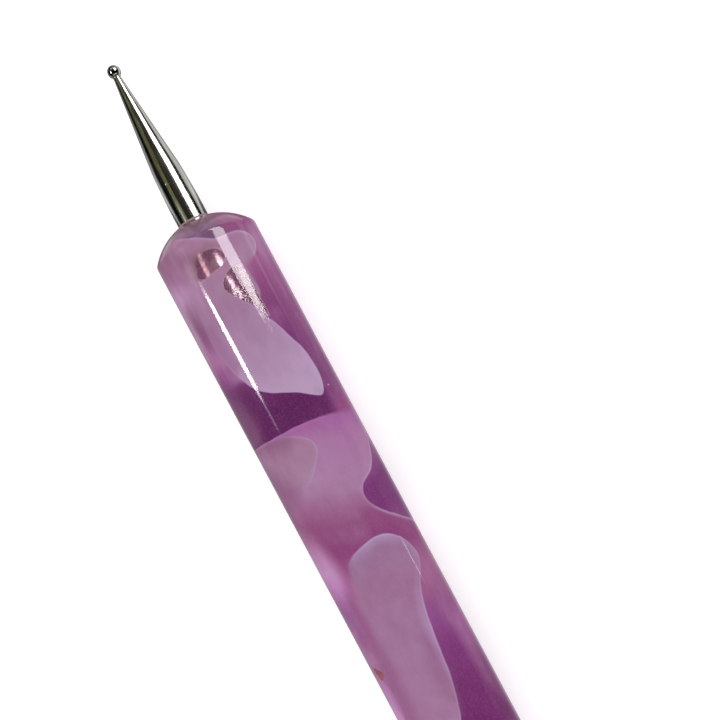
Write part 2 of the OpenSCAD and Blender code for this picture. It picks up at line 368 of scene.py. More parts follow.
# clear places through which the pin's inner end shows
lobe("clear", [(-1.95, 3.4, .75), (-1.8, 2.8, .65), (-1.2, 2.4, .35), (-.4, 2.25, .2), (.3, 2.4, .16), (.78, 2.8, .14), (.86, 3.35, .1), (.4, 3.85, .06), (-.15, 3.98, .05), (-.8, 4.12, .05), (-1.35, 4.22, .1), (-1.9, 4.1, .5)],
     [(at(3), CLEAR)])
lobe("clear", [(.9, 4.32, .06), (.4, 4.5, .05), (-.06, 4.88, .05), (-.33, 5.4, .05), (-.22, 5.9, .05), (.1, 6.4, .05), (.5, 7.0, .05), (1.0, 7.62, .05), (1.3, 8.1, .05), (1.55, 8.75, .06), (1.7, 8.9, .08), (1.72, 8.2, .06), (1.7, 7.2, .05), (1.68, 6.0, .06), (1.62, 4.9, .1), (1.35, 4.4, .1)],
     [(at(6), CLEAR)])

lobe("speck_and_glint", [(-1.9, 2.35, .3), (-1.0, 2.0, .22), (0, 1.9, .2), (.7, 2.2, .2), (.95, 2.9, .15), (.8, 2.6, .2), (.2, 2.35, .2), (-.6, 2.3, .2), (-1.5, 2.7, .3)], [(at(2), (146, 106, 122))], .7)
# small inclusions
lobe("speck_and_glint", [(-3.78, 35.45, .06), (-3.62, 35.75, .06), (-3.4, 36.0, .06), (-3.34, 36.35, .06), (-3.52, 36.6, .06), (-3.72, 36.6, .06), (-3.8, 36.2, .08), (-3.84, 35.8, .08)], [(at(35.4), (128, 62, 74)), (at(35.9), (150, 80, 84)), (at(36.5), (120, 56, 72))], .95)
lobe("speck_and_glint", [(3.02, 15.36, .05), (3.1, 15.28, .05), (3.18, 15.36, .05), (3.1, 15.46, .05)], [(at(15), (206, 160, 196))], .9)
lobe("speck_and_glint", [(1.2, 9.6, .1), (1.35, 9.5, .1), (1.45, 9.75, .1), (1.3, 9.9, .1)], [(at(9), (186, 152, 184))], .5)

# -------------------------------------------- lobes seen at the large end
K = HALF
lobe("deep", [(-3.9, 4.5, .7), (-3.2, 4.4, .7), (-2.4, 4.6, .6), (-2.08, 5.2, .12), (-2.05, 6.5, .05), (-2.06, 8.0, .05), (-2.1, 9.3, .05), (-2.4, 9.8, .05, .2), (-2.95, 10.02, .05, .3), (-3.5, 9.75, .05, .3), (-3.85, 9.2, .08, .2), (-3.97, 7, .2)],
     [(K - 10, (108, 52, 98)), (K - 7, PLUM), (K - 4.8, GRAPE)], place=seen_far)
lobe("deep", [(3.97, 5.4, .12), (3.6, 7.4, .1), (3.4, 9, .1), (3.25, 11, .12), (3.3, 13.2, .2), (3.0, 16, .5), (2.2, 18.5, .8), (2.8, 21, .8), (3.97, 22, .8), (3.97, 12, .8)],
     [(K - 22, VIOLET), (K - 12, (138, 74, 126)), (K - 6, VIOLET)], place=seen_far)
lobe("deep", [(-3.8, 28, .3), (-2.2, 27.2, .3), (-.6, 28.2, .3), (.9, 30.6, .2), (1.5, 33.4, .15), (.9, 35.4, .08, .4), (-.6, 36.2, .06, .7), (-2.4, 35.2, .06, .7), (-3.6, 33, .1, .5)],
     [(K - 36, GRAPE), (K - 31, PLUM), (K - 28, VIOLET)], place=seen_far)
lobe("inner", [(-1.35, 2.0, .12), (-2.0, 2.2, .12), (-2.05, 5, .06), (-2.04, 7.4, .05), (-2.06, 9.3, .06), (-1.7, 9.42, .08), (-1.2, 9.2, .1), (-.9, 6.0, .3)], [(K - 9, (172, 132, 166)), (K - 3, LILAC)], place=seen_far)
lobe("pale", [(-.4, 1.9, .1, .5), (-.1, 2.9, .06, .9), (.12, 4, .05, .9), (.36, 5, .05, .9), (.42, 6, .05, .9), (.3, 7, .06, .7), (0, 7.8, .08, .5), (-.5, 8.6, .1, .3), (-1.4, 9.4, .12), (-2.4, 10.1, .08, .2), (-3.2, 10.3, .08, .2), (-3.9, 9.6, .2),
              (-3.97, 13, .8), (-2, 15.5, 1.2), (.5, 14.5, 1.2), (2.6, 12.5, .9), (3.2, 9, .5), (3.2, 5.6, .8), (2.0, 3.0, .9), (.8, 1.8, .5)],
     [(K - 15, (174, 126, 172)), (K - 11, (172, 130, 172)), (K - 8, (160, 134, 164)), (K - 5, (148, 114, 140)), (K - 2, (146, 108, 134))], place=seen_far)
lobe("pale", [(-3.7, 18.2, .5), (-1.6, 17.0, .4, .2), (.6, 17.8, .1, .6), (2.0, 20.2, .06, .9), (2.3, 23.4, .05, .9), (1.4, 26.0, .06, .7), (-.6, 26.8, .2, .4), (-2.8, 25.2, .5), (-3.9, 21.8, .7)],
     [(K - 27, (160, 118, 154)), (K - 22, LILAC), (K - 17, (170, 124, 168))], place=seen_far)
lobe("pale", [(-1.2, 38.4, .1, .5), (.8, 37.4, .06, .8), (2.8, 38.4, .06, .8), (3.6, 41, .2, .3), (2.6, 44.6, .5), (.2, 46, .6), (-1.8, 43, .3)], [(K - 46, LILAC), (K - 38, MILK)], place=seen_far)
lobe("clear", [(-1.3, 2.3, .45), (-.95, 2.0, .25), (-.42, 2.0, .12), (-.12, 2.9, .06), (.1, 4, .06), (.34, 5, .06), (.4, 6, .06), (.28, 7, .06), (-.02, 7.8, .08), (-.5, 8.5, .1), (-1.1, 9.0, .2), (-1.35, 8.4, .4), (-1.35, 5, .45)], [(K - 5, (236, 214, 224))], place=seen_far)
# painted highlight: a bright streak on the dome at the large pin's mouth, standing in for the pin's reflection seen
# through the resin
lobe("speck_and_glint", [(-.85, .1, .9), (-.1, .1, .9), (-.15, 1.0, .45), (-.3, 1.9, .28), (-.55, 2.05, .25), (-.75, 1.9, .28), (-.8, 1.0, .45)], [(K - 2.1, (206, 172, 180)), (K - 1.3, (228, 194, 196)), (K - .3, (206, 160, 172))], .75, place=seen_far)
lobe("speck_and_glint", [(-1.95, 10.4, .05), (-1.85, 10.3, .05), (-1.75, 10.45, .05), (-1.86, 10.58, .05)], [(K - 10, (110, 66, 84))], .9, place=seen_far)

# ------------------------- lobes of the same kind on the rest of the handle
rng = np.random.default_rng(20)


def free(u, a, lu, la):
    """True if a lobe there stays off the two listed faces of the barrel."""
    a = (a + TURN / 2) % TURN - TURN / 2
    near_top = abs(a) < 5.6 + la
    return not (near_top and (u < -6 + lu or u > 9 - lu))


kinds = [("deep", [(PLUM, GRAPE), (GRAPE, VIOLET), (PLUM, PLUM)], .95), ("veil", [(ORCHID, MAUVE), (MAUVE, MAGENTA), (MAUVE, ORCHID)], .95),
         ("inner", [(PINK, ORCHID), (GREY, MAUVE), (ORCHID, PINK)], .9), ("pale", [(LILAC, MILK), (MILK, LILAC), (GREY, LILAC)], 1.0)]


def tongue(kind, u, a, length, width, facing, bend, tilt, cols, op):
    """A lobe as poured resin makes it: a rounded head with a crisp milky edge, a waist, and a tail that fades into the ground."""
    side = ((0.0, .0), (.06, .52), (.18, .88), (.34, 1.0), (.5, .84), (.66, .72), (.82, .62), (.96, .38))
    outline = [(k, w) for k, w in side] + [(k, -w * rng.uniform(.8, 1.05)) for k, w in side[:0:-1]]
    pts = []
    for k, w in outline:
        w *= rng.uniform(.93, 1.07)
        x = facing * (.5 - k) * length
        y = w * width + bend * math.sin(math.pi * k * 1.25) * width
        tail = min(1.0, max(0.0, (k - .3) / .6))
        soft = .05 + (1.1 if kind in ("veil", "deep") else .8) * tail ** 1.6
        rim = {"pale": .95, "veil": .9, "inner": .5, "deep": .25}[kind] * (1 - tail) ** .7
        pts.append((u + x * math.cos(tilt) - y * math.sin(tilt), a + x * math.sin(tilt) + y * math.cos(tilt), soft, rim))
    h = length / 2
    c0, c1 = cols
    lobe(kind, pts, [(u - h, c0 if facing < 0 else c1), (u + h, c1 if facing < 0 else c0)], op, place=None, slant=rng.uniform(-.4, .4))


placed = []
tries = 0
order = [0, 3, 1, 3, 0, 2, 3, 1]
while len(placed) < 25 and tries < 6000:
    tries += 1
    kind, cols, op = kinds[order[len(placed) % len(order)]]
    length = rng.uniform(8.0, 17.0)
    width = rng.uniform(1.5, 3.1)
    u, a = rng.uniform(-50, 50), rng.uniform(-TURN / 2, TURN / 2)
    if not free(u, a, length / 2, width * 1.1):
        continue
    clash = False
    for (k2, u2, a2, l2, b2) in placed:
        d = (a - a2 + TURN / 2) % TURN - TURN / 2
        close = .78 if k2 == kind else (.42 if {k2, kind} <= {"pale", "veil"} or {k2, kind} <= {"pale", "inner"} else .2)
        if abs(u - u2) < (length + l2) * .5 * close and abs(d) < (width + b2) * close * 1.15:
            clash = True
    if clash:
        continue
    placed.append((kind, u, a, length, width))
    tongue(kind, u, a, length, width, -1 if rng.uniform() < .5 else 1, rng.uniform(-.7, .7), rng.uniform(-.22, .22), cols[int(rng.integers(len(cols)))], op)

# ---------------------------------------------------- soft ground colours, with some painted shade and painted edge light
ground = np.zeros((N, 3))
weight = np.zeros(N)


def pool(t, s, rt, rs, colour, strength=1.0, place=seen):
    u, a = place(t, s) if place else (t, s)
    d = (A - a + TURN / 2) % TURN - TURN / 2
    w = strength * np.exp(-.5 * (((U - u) / rs) ** 2 + (d / rt) ** 2))
    ground[:] += w[:, None] * np.array(lin(*colour))
    weight[:] += w


# pools of the resin's tone; the dark pool at (.1, 1.1) on the dome's top is painted shade near the pin's base, and the
# lighter pools at (3.6, 7), (3.4, 31) and (3.6, 36) along the right silhouette are resin tone plus painted edge light
for row in [(-2.2, 1.1, 1.3, 1.0, (143, 108, 135), 2), (-.3, .15, 1.6, .55, (120, 90, 102), 5), (.1, 1.1, .9, .4, (108, 78, 106), 5), (2.5, .9, 1.0, .7, (130, 62, 104), 4), (2.3, 1.5, .6, .35, (146, 84, 126), 3), (-2.9, 2.2, 1.0, .8, (144, 96, 126), 3),
            (-3.6, 4.5, .6, .6, (186, 142, 182), 3), (-3.4, 3.2, .8, .6, (158, 106, 142), 1.5), (-3.3, 6.0, .6, .8, (150, 108, 134), 1.5), (-3.35, 7.8, .28, 1.1, (120, 66, 104), 4), (-3.9, 8.1, .25, 1.3, (168, 130, 158), 3),
            (-3.6, 9.9, .5, .8, (172, 110, 158), 3), (-3.5, 11.4, .6, .6, (132, 60, 120), 5), (-2.4, 9, 1.2, 4, LILAC), (3.6, 3.6, .5, 1.0, (172, 130, 166), 2), (2.3, 4.9, .6, .6, (164, 100, 146), 2),
            (2.3, 7, .55, 2.2, (134, 68, 118), 2), (2.6, 11, .6, 2.4, (114, 52, 108), 3), (3.6, 7, .4, 2, (144, 84, 130), 2), (3.6, 11.5, .5, 2.4, (122, 64, 112), 4), (3.5, 14.8, .6, 1.5, (120, 60, 112), 4),
            (2.9, 16.2, .5, .9, (118, 56, 106), 2), (3.3, 17.2, .6, .6, (146, 72, 122), 4), (3.4, 28, .8, 1.6, (144, 84, 126), 2), (3.4, 31, 1.2, 2, (156, 96, 146)), (3.6, 36, .5, 2.0, (154, 88, 142), 3),
            (3.7, 40.5, .6, 2.2, (104, 44, 92), 6), (-3.6, 34.3, .5, 1.2, (160, 104, 148), 2), (-2.9, 37, .6, 4, (150, 94, 134), 2), (-4.6, 14, 1, 3, VIOLET), (-4.8, 19, 1, 3, GREY)]:
    pool(*row)
for row in [(-2.2, 1.4, 1.6, 1.6, LILAC), (2.0, 1.6, 1.6, 1.6, (150, 106, 136)), (-3.2, 3.2, 1, 1, ORCHID), (1.6, 5, 2, 3, GREY), (0, 10, 3, 3, LILAC), (0, 15, 3, 4, ORCHID), (0, 24, 3, 6, (166, 112, 160)), (0, 36, 3, 6, MAUVE)]:
    pool(*row, place=seen_far)
names = [ORCHID, MAUVE, ROSE, VIOLET, LILAC, MAGENTA]
for q in range(70):
    u, a = rng.uniform(-52, 52), rng.uniform(-TURN / 2, TURN / 2)
    k = names[q % len(names)]
    if free(u, a, 1.5, 0):
        pool(u, a, rng.uniform(1.2, 3.0), rng.uniform(2.5, 7.0), k, place=None)
base = np.array(lin(*MAUVE))
ground = (ground + base * .02) / (weight[:, None] + .02)

# ------------------------------------- painted light on the handle's inner side
# The clear places look in on the bonded pin, which mirrors the inner side of the
# handle's wall. That inner side carries painted glow and painted glints, standing in
# for light coming in through the milky resin. Each glint is placed by where the main view sees its image.
def inner_spot(t, s, rs, far_end=False):
    """Place (u, a) on the handle's inner side that a mirror of radius rs on the axis shows at (t, s)."""
    eye = FAR_EYE if far_end else CAM
    q = np.array([HALF - s, -t, 0.0]) if far_end else np.array([s - HALF, t, 0.0])
    d = (q - eye) / np.linalg.norm(q - eye)
    b, c = eye[1:] @ d[1:], eye[1:] @ eye[1:] - R * R
    aa = d[1:] @ d[1:]
    P = eye + d * (-b - math.sqrt(b * b - aa * c)) / aa
    n = np.array([0, P[1], P[2]]) / R
    ci, eta = -n @ d, 1 / 1.49
    d = eta * d + (eta * ci - math.sqrt(1 - eta * eta * (1 - ci * ci))) * n
    aa, b, c = d[1:] @ d[1:], P[1:] @ d[1:], P[1:] @ P[1:] - rs * rs
    D = b * b - aa * c
    if D < 0:
        D = 0.0
    Q = P + d * (-b - math.sqrt(D)) / aa
    n = np.array([0, Q[1], Q[2]]) / rs
    d = d - 2 * (d @ n) * n
    aa, b, c = d[1:] @ d[1:], Q[1:] @ d[1:], Q[1:] @ Q[1:] - R * R
    E = Q + d * (-b + math.sqrt(b * b - aa * c)) / aa
    return float(np.interp(E[0], ox, ou)), math.atan2(E[1], E[2]) * R


painted_inner_glints = np.zeros((N, 3))


def painted_glint_bar(points, colour, rs, far_end=False):
    """A painted glint: a soft bar along (t, s, half width in t, strength) points, all as the main view sees them."""
    P = [points[0]] + list(points) + [points[-1]]
    best = np.zeros(N)
    for (t0, s0, w0, k0), (t1, s1, w1, k1) in zip(points, points[1:]):
        for f in np.linspace(0, 1, max(2, int(abs(s1 - s0) / .08))):
            t, s_, w, k = t0 + (t1 - t0) * f, s0 + (s1 - s0) * f, w0 + (w1 - w0) * f, k0 + (k1 - k0) * f
            u, a = inner_spot(t, s_, rs, far_end)
            a_lo, a_hi = inner_spot(t - w, s_, rs, far_end)[1], inner_spot(t + w, s_, rs, far_end)[1]
            half = abs((a_hi - a_lo + TURN / 2) % TURN - TURN / 2) / 2
            d = (A - a + TURN / 2) % TURN - TURN / 2
            g = k * np.exp(-((d / (half * .9)) ** 4)) * np.exp(-(((U - u) / .13) ** 2))
            best = np.maximum(best, g)
    painted_inner_glints[:] += best[:, None] * np.array(colour)


rs_small = SMALL["shank"] / 2 + GAP - .02
# painted glints on the small end's inner wall: copper and white bars that the pin mirrors in the clear places
painted_glint_bar([(-.84, 2.3, .12, .5), (-.86, 2.5, .14, .9), (-.86, 2.75, .1, .35), (-.88, 2.95, .14, .8), (-.9, 3.5, .16, 1.0), (-.92, 4.3, .16, .9)], (.92, .80, .74), rs_small)
painted_glint_bar([(-.8, 2.4, .26, .3), (-.84, 3.2, .3, .3), (-.9, 4.3, .3, .26)], (.62, .44, .42), rs_small)
painted_glint_bar([(.3, 2.9, .1, .3), (.32, 3.2, .17, 1.0), (.32, 3.6, .2, 1.5), (.34, 3.95, .16, 1.3)], (1.3, 1.42, 1.36), rs_small)
painted_glint_bar([(.36, 2.9, .26, .5), (.4, 3.5, .32, .8), (.4, 3.95, .26, .8)], (.66, .46, .5), rs_small)
painted_glint_bar([(.26, 4.85, .1, .5), (.31, 5.2, .14, 1.6), (.38, 6.0, .16, 1.8), (.5, 6.8, .16, 1.5), (.64, 7.4, .14, .8)], (1.4, 1.6, 1.48), rs_small)
painted_glint_bar([(.36, 4.9, .26, .5), (.44, 5.8, .28, .7), (.58, 7.0, .26, .6)], (.6, .42, .46), rs_small)
painted_glint_bar([(1.38, 4.2, .22, .6), (1.36, 5.5, .26, .8), (1.34, 7.5, .26, .9), (1.4, 9.2, .22, .7)], (.76, .74, .74), rs_small)
rs_large = LARGE["shank"] / 2 + GAP - .02
# painted glints on the large end's inner wall
painted_glint_bar([(-.75, 1.8, .5, .5), (-.7, 4.5, .55, .55), (-.7, 9.0, .5, .5)], (.62, .52, .54), rs_large, far_end=True)
painted_glint_bar([(-.3, 1.8, .14, .5), (-.2, 3.5, .16, .9), (-.25, 6.5, .18, .9), (-.5, 9.0, .16, .7)], (.9, .74, .76), rs_large, far_end=True)
painted_glint_bar([(.1, 3.0, .14, .3), (.14, 5.0, .16, .5), (.1, 7.4, .14, .4)], (.8, .62, .66), rs_large, far_end=True)

mesh = handle.data


def put(name, kind, data):
    at_ = mesh.attributes.new(name, kind, "POINT")
    at_.data.foreach_set({"FLOAT_COLOR": "color", "FLOAT_VECTOR": "vector", "FLOAT": "value"}[kind], np.ascontiguousarray(data, np.float32).ravel())


put("ground", "FLOAT_COLOR", np.hstack([ground, np.ones((N, 1))]))
for k in LAYERS:
    L = layer[k]
    put(k + "_edge", "FLOAT_VECTOR", np.stack([L["sd"], L["soft"], L["rim"]], 1))
    put(k + "_hue", "FLOAT_COLOR", np.hstack([L["col"], L["op"][:, None]]))
put("painted_inner_glints", "FLOAT_COLOR", np.hstack([painted_inner_glints, np.ones((N, 1))]))


# -------------------------------------------------------- node shorthands
class Nodes:
    def __init__(self, name):
        self.mat = bpy.data.materials.new(name)
        self.mat.use_nodes = True
        self.t = self.mat.node_tree
        self.t.nodes.clear()
        self.out = self.t.nodes.new("ShaderNodeOutputMaterial")
        self.bsdf = self.t.nodes.new("ShaderNodeBsdfPrincipled")
        self.t.links.new(self.bsdf.outputs[0], self.out.inputs["Surface"])

    def set(self, **kw):
        for k, v in kw.items():
            self.bsdf.inputs[k.replace("_", " ")].default_value = v

    def link(self, a, b):
        self.t.links.new(a, b)
        return b

    def new(self, kind, **props):
        n = self.t.nodes.new(kind)
        for k, v in props.items():
            setattr(n, k, v)
        return n

    def put(self, socket, v):
        if isinstance(v, (int, float)):
            socket.default_value = v
        elif isinstance(v, (tuple, list)):
            socket.default_value = tuple(v) + ((1.0,) if len(socket.default_value) == 4 and len(v) == 3 else ())
        else:
            self.link(v, socket)

    def math(self, op, a, b=0.0, c=0.0, clamp=False):
        n = self.new("ShaderNodeMath", operation=op, use_clamp=clamp)
        for s, v in zip(n.inputs, (a, b, c)):
            self.put(s, v)
        return n.outputs[0]

    def mix(self, fac, a, b, blend="MIX"):
        n = self.new("ShaderNodeMix", data_type="RGBA", blend_type=blend)
        self.put(n.inputs["Factor"], fac)
        self.put(n.inputs["A"], a)
        self.put(n.inputs["B"], b)
        return n.outputs["Result"]

    def ramp(self, v, lo, hi, to0=0.0, to1=1.0, smooth=True):
        n = self.new("ShaderNodeMapRange", interpolation_type="SMOOTHSTEP" if smooth else "LINEAR")
        n.clamp = True
        for k, x in (("Value", v), ("From Min", lo), ("From Max", hi), ("To Min", to0), ("To Max", to1)):
            self.put(n.inputs[k], x)
        return n.outputs["Result"]

    def attr(self, name):
        return self.new("ShaderNodeAttribute", attribute_name=name)

    def scaled(self, vec, scale):
        n = self.new("ShaderNodeVectorMath", operation="MULTIPLY")
        self.put(n.inputs[0], vec)
        n.inputs[1].default_value = scale
        return n.outputs[0]

    def noise(self, vec, scale=1.0, detail=2.0, rough=.5, distort=0.0):
        n = self.new("ShaderNodeTexNoise")
        self.put(n.inputs["Vector"], vec)
        n.inputs["Scale"].default_value = scale
        n.inputs["Detail"].default_value = detail
        n.inputs["Roughness"].default_value = rough
        n.inputs["Distortion"].default_value = distort
        return n.outputs[0]

    def voronoi(self, vec, scale, feature="F1"):
        n = self.new("ShaderNodeTexVoronoi", feature=feature)
        self.put(n.inputs["Vector"], vec)
        n.inputs["Scale"].default_value = scale
        return n

    def bump(self, height, strength, distance, normal=None):
        n = self.new("ShaderNodeBump")
        self.put(n.inputs["Height"], height)
        n.inputs["Strength"].default_value = strength
        n.inputs["Distance"].default_value = distance
        if normal is not None:
            self.link(normal, n.inputs["Normal"])
        return n.outputs[0]

    def rgb(self, c):
        n = self.new("ShaderNodeRGB")
        n.outputs[0].default_value = tuple(c) + (1.0,)
        return n.outputs[0]


def per_mm(m):
    """Object coordinates in millimetres."""
    tc = m.new("ShaderNodeTexCoord")
    return m.scaled(tc.outputs["Object"], (1000, 1000, 1000))


# --------------------------------------------------------- marbled resin
def resin():
    m = Nodes("marbled_resin")
    p = per_mm(m)
    colour = m.attr("ground").outputs["Color"]
    # lengthwise streaks and cloud in the cast ground colour
    streak = m.noise(m.scaled(p, (.16, 1.5, 1.5)), 1.0, 3, .55)
    cloud = m.noise(m.scaled(p, (.45, .6, .6)), 1.0, 2, .5)
    tone = m.math("ADD", m.math("MULTIPLY", m.math("SUBTRACT", streak, .5), .34), m.math("MULTIPLY", m.math("SUBTRACT", cloud, .5), .22))
    colour = m.mix(m.math("MULTIPLY", tone, 2.2, clamp=True), colour, tuple(lin(*PINK)))
    colour = m.mix(m.math("MULTIPLY", tone, -2.6, clamp=True), colour, tuple(lin(*GRAPE)))
    wobble = m.math("SUBTRACT", m.noise(m.scaled(p, (.9, 1.1, 1.1)), 1.0, 2, .5), .5)
    milk = tuple(lin(184, 156, 196))
    clear = None
    for k in LAYERS:
        edge = m.new("ShaderNodeSeparateXYZ")
        m.link(m.attr(k + "_edge").outputs["Vector"], edge.inputs[0])
        hue = m.attr(k + "_hue")
        sd = m.math("MULTIPLY_ADD", wobble, {"deep": .3, "veil": .12, "inner": .12, "pale": .1, "clear": .08, "speck_and_glint": .1}[k], edge.outputs[0])
        soft = edge.outputs[1]
        inside = m.math("DIVIDE", m.math("SUBTRACT", soft, sd), m.math("MULTIPLY", soft, 2.0), clamp=True)
        mask = m.math("MULTIPLY", m.ramp(inside, 0.0, 1.0), hue.outputs["Alpha"])
        shade = hue.outputs["Color"]
        if k in ("pale", "veil", "inner", "deep"):
            # slow change of tone inside each lobe
            drift = m.noise(m.scaled(p, (.35, .5, .5)), {"pale": 1.3, "veil": 1.0, "inner": 1.7, "deep": .8}[k], 2, .5)
            amt = {"pale": .3, "veil": .3, "inner": .35, "deep": .4}[k]
            shade = m.mix(m.math("MULTIPLY", m.math("SUBTRACT", drift, .52), amt * 2, clamp=True), shade, tuple(lin(*MILK)) if k != "deep" else tuple(lin(*VIOLET)))
            shade = m.mix(m.math("MULTIPLY", m.math("SUBTRACT", .48, drift), amt * 1.6, clamp=True), shade, tuple(lin(*ROSE)) if k != "deep" else tuple(lin(72, 26, 70)))
        colour = m.mix(mask, colour, shade)
        if k == "clear":
            clear = mask
        if k in ("pale", "veil", "inner", "deep"):
            # milky skin along a lobe's crisp edge
            line = m.ramp(m.math("ABSOLUTE", m.math("ADD", sd, .07)), 0.0, .14, 1.0, 0.0)
            inner_glow = m.ramp(sd, {"pale": -.9, "veil": -.35, "inner": -.5, "deep": -.3}[k], 0.0, 0.0, {"pale": .34, "veil": .3, "inner": .3, "deep": .2}[k])
            inner_glow = m.math("MULTIPLY", inner_glow, m.ramp(sd, 0.0, .04, 1.0, 0.0))
            both = m.math("MAXIMUM", m.math("MULTIPLY", line, .62), inner_glow)
            colour = m.mix(m.math("MULTIPLY", m.math("MULTIPLY", both, edge.outputs[2]), hue.outputs["Alpha"]), colour, milk)
    # fine cloudiness, drawn out along the tool, then grain and a few trapped grains of pigment
    mottle = m.math("SUBTRACT", m.noise(m.scaled(p, (.8, 1.3, 1.3)), 1.0, 3, .55), .5)
    shaded = m.new("ShaderNodeVectorMath", operation="SCALE")
    m.link(colour, shaded.inputs[0])
    m.link(m.math("MULTIPLY_ADD", mottle, .26, 1.0), shaded.inputs["Scale"])
    colour = shaded.outputs[0]
    grain = m.noise(p, 7.0, 2, .6)
    colour = m.mix(m.ramp(grain, .35, .8, 0.0, .07), colour, tuple(lin(*MILK)))
    cell = m.voronoi(p, .55)
    dot = m.math("MULTIPLY", m.ramp(cell.outputs["Distance"], .03, .06, 1.0, 0.0), 1.0)
    sep = m.new("ShaderNodeSeparateColor")
    m.link(cell.outputs["Color"], sep.inputs[0])
    dot = m.math("MULTIPLY", dot, m.math("GREATER_THAN", sep.outputs[0], .93))
    colour = m.mix(m.math("MULTIPLY", dot, .5), colour, tuple(lin(*BROWN)))
    m.link(colour, m.bsdf.inputs["Base Color"])
    m.link(m.math("MULTIPLY", clear, .96), m.bsdf.inputs["Transmission Weight"])
    # painted glow: the wall's inner side emits a dimmed copy of its colour plus the painted glints, standing in for the
    # light that the milky resin carries
    add = m.new("ShaderNodeVectorMath", operation="ADD")
    m.link(m.scaled(colour, (.34, .33, .335)), add.inputs[0])
    glint_patches = m.new("ShaderNodeVectorMath", operation="SCALE")
    m.link(m.attr("painted_inner_glints").outputs["Color"], glint_patches.inputs[0])
    m.link(m.ramp(m.noise(m.scaled(p, (2.6, 1.6, 1.6)), 1.0, 3, .6), .3, .62, .45, 1.25), glint_patches.inputs["Scale"])
    m.link(glint_patches.outputs[0], add.inputs[1])
    m.link(add.outputs[0], m.bsdf.inputs["Emission Color"])
    side = m.new("ShaderNodeNewGeometry")
    m.link(side.outputs["Backfacing"], m.bsdf.inputs["Emission Strength"])
    m.mat.cycles.emission_sampling = "NONE"
    # polish: almost mirror, with faint marks round the barrel
    marks = m.noise(m.scaled(p, (9, .5, .5)), 1.0, 3, .6)
    scuff = m.noise(m.scaled(p, (.8, .8, .8)), 1.0, 4, .6)
    m.link(m.math("ADD", m.ramp(scuff, .3, .75, .03, .075), m.math("MULTIPLY", marks, .015)), m.bsdf.inputs["Roughness"])
    h = m.math("ADD", m.math("MULTIPLY", marks, .6), m.noise(p, 5.0, 2, .6))
    m.link(m.bump(h, .25, .0000045), m.bsdf.inputs["Normal"])
    m.set(IOR=1.49)
    return m.mat


def pass_through():
    """Wall of the drilled socket where the adhesive wets it: light goes straight on."""
    m = Nodes("wetted_socket_wall")
    p = per_mm(m)
    tint = m.mix(m.ramp(m.noise(p, 2.0), .3, .7, 0.0, .2), (1.0, .97, .98), (.96, .9, .93))
    m.link(tint, m.bsdf.inputs["Base Color"])
    m.set(Transmission_Weight=1.0, Roughness=0.0, IOR=1.0)
    return m.mat


mesh.materials.append(resin())
mesh.materials.append(pass_through())
bore_rows = {*range(len(boreL) - 1), *range(len(profile) - len(boreR) + 0, len(profile))}
centre = np.zeros(len(mesh.polygons) * 3)
mesh.polygons.foreach_get("center", centre)
centre = centre.reshape(-1, 3) / MM
cr = np.hypot(centre[:, 1], centre[:, 2])
bore = ((centre[:, 0] < 0) & (cr < r_small + 1e-3)) | ((centre[:, 0] > 0) & (cr < r_large + 1e-3))
mesh.polygons.foreach_set("material_index", bore.astype(np.int32))


# ------------------------------------------------------------ metal pieces
def steel(name, tint=(.52, .52, .48), rough=(.09, .2), seed=0.0, pits=True):
    m = Nodes(name)
    p = per_mm(m)
    shift = m.new("ShaderNodeVectorMath", operation="ADD")
    m.put(shift.inputs[0], p)
    shift.inputs[1].default_value = (seed, 0, 0)
    p = shift.outputs[0]
    lines = m.noise(m.scaled(p, (.12, 7, 7)), 1.0, 4, .65)          # drawn lengthwise
    rings = m.noise(m.scaled(p, (16, .1, .1)), 1.0, 2, .5)           # left by turning
    haze = m.noise(m.scaled(p, (.5, 1.2, 1.2)), 1.0, 3, .6)
    c = m.mix(m.ramp(lines, .32, .7), tuple(v * .82 for v in tint), tuple(min(1, v * 1.22) for v in tint))
    c = m.mix(m.ramp(haze, .5, .8, 0.0, .35), c, (tint[0] * .9, tint[1] * .92, tint[2] * .74))
    r = m.math("ADD", m.ramp(lines, .3, .75, rough[0], rough[1]), m.math("MULTIPLY", rings, .04))
    h = m.math("ADD", m.math("MULTIPLY", lines, 1.0), m.math("MULTIPLY", rings, .35))
    if pits:
        cell = m.voronoi(m.scaled(p, (1, 1, 1)), 1.9)
        sep = m.new("ShaderNodeSeparateColor")
        m.link(cell.outputs["Color"], sep.inputs[0])
        pit = m.math("MULTIPLY", m.ramp(cell.outputs["Distance"], .03, .075, 1.0, 0.0), m.math("GREATER_THAN", sep.outputs[1], .62))
        h = m.math("SUBTRACT", h, m.math("MULTIPLY", pit, 1.2))
        r = m.math("ADD", r, m.math("MULTIPLY", pit, .15))
    m.link(c, m.bsdf.inputs["Base Color"])
    m.link(r, m.bsdf.inputs["Roughness"])
    m.link(m.bump(h, .35, .000004), m.bsdf.inputs["Normal"])
    m.set(Metallic=1.0)
    return m.mat


